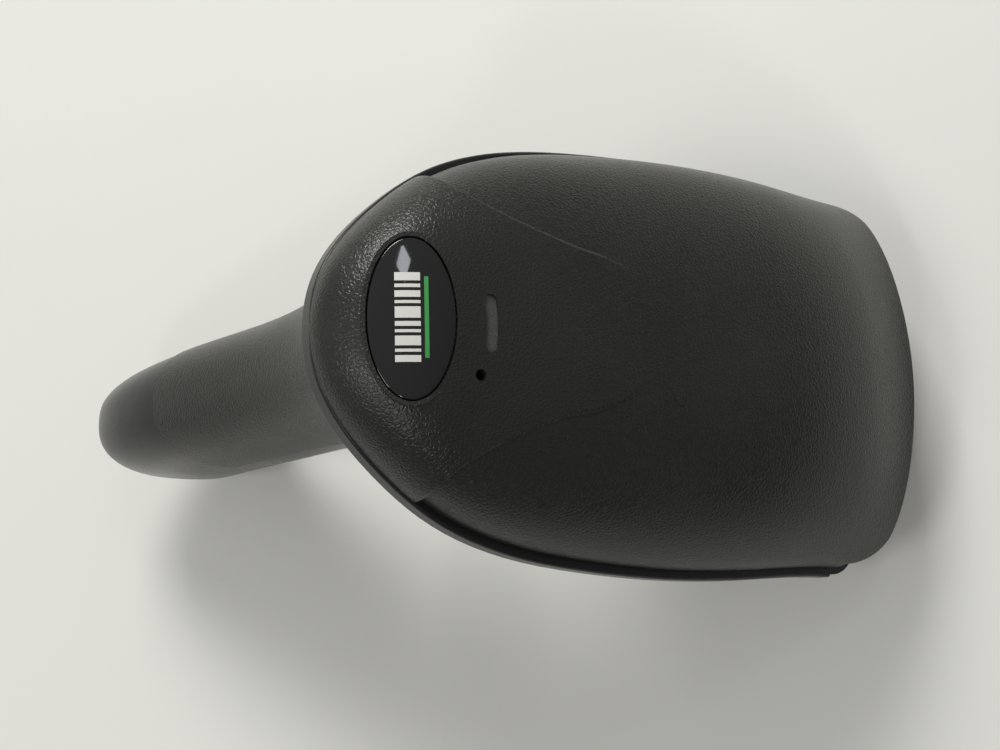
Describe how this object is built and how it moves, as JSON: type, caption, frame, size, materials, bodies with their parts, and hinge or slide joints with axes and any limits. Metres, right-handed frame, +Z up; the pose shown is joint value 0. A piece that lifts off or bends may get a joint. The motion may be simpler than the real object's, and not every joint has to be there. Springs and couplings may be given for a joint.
{
  "type": "handheld barcode scanner",
  "caption": "Pistol-grip barcode scanner lying on a table: wide creased head with a recessed oval badge, scan window in the nose, finger trigger, two-part handle and a cable socket in the butt.",
  "frame": {"origin": "centre of the footprint, on the surface that the scanner lies on", "axes": "+X towards the nose, +Y to the scanner's left, +Z up from the table"},
  "size_m": [0.1744, 0.0812, 0.1021],
  "materials": {
    "shell_plastic": "fine leather grain",
    "housing_plastic": "smooth satin",
    "badge_gloss": "high gloss",
    "light_pipe_plastic": "translucent grey",
    "window_acrylic": "polished red acrylic",
    "lens_glass": "polished",
    "bezel_plastic": "fine matte",
    "gasket_rubber": "foam",
    "trigger_plastic": "smooth satin",
    "steel": "plain",
    "board_laminate": "solder mask",
    "chip_epoxy": "moulded",
    "led_resin": "clear resin",
    "connector_nylon": "moulded",
    "ribbon_film": "polyimide film",
    "engine_metal": "anodised black",
    "gold_contact": "gold plate"
  },
  "bodies": {
    "housing": {"badge": "badge_gloss", "board_screws": "steel", "cable_jack": "connector_nylon", "engine_chassis": "engine_metal", "engine_screws": "steel", "handle_back_cover": "shell_plastic", "handle_board": "board_laminate", "handle_screws": "steel", "head_screws": "steel", "illumination_board": "board_laminate", "illumination_leds": "led_resin", "image_sensor": "chip_epoxy", "imager_board": "board_laminate", "jack_contacts": "gold_contact", "lens": "lens_glass", "lens_barrel": "engine_metal", "light_pipe": "light_pipe_plastic", "lower_housing": "housing_plastic", "main_board": "board_laminate", "memory_chip": "chip_epoxy", "nose_bezel": "bezel_plastic", "processor_chip": "chip_epoxy", "ribbon_cable": "ribbon_film", "ribbon_connectors": "connector_nylon", "scan_window": "window_acrylic", "sounder": "chip_epoxy", "status_led": "led_resin", "top_shell": "shell_plastic", "trigger_pin": "steel", "trigger_switch": "chip_epoxy", "window_gasket": "gasket_rubber"},
    "trigger": {"trigger": "trigger_plastic"},
    "plunger": {"switch_plunger": "connector_nylon"}
  },
  "joints": [
    {"name": "trigger_pull", "type": "hinge", "parent": "housing", "child": "trigger", "pos_m": [0.00369, 0, 0.05949], "axis": [0, 1, 0], "range_deg": [0, 7], "stiffness_Nm_per_rad": 0.1, "springref_deg": -2.86},
    {"name": "plunger_press", "type": "slide", "parent": "housing", "child": "plunger", "axis": [-0.7096, 0, 0.7047], "range_m": [0, 0.0015]}
  ],
  "couplings": [
    {"joint": "plunger_press", "follows": "trigger_pull", "m_per_rad": 0.012}
  ]
}
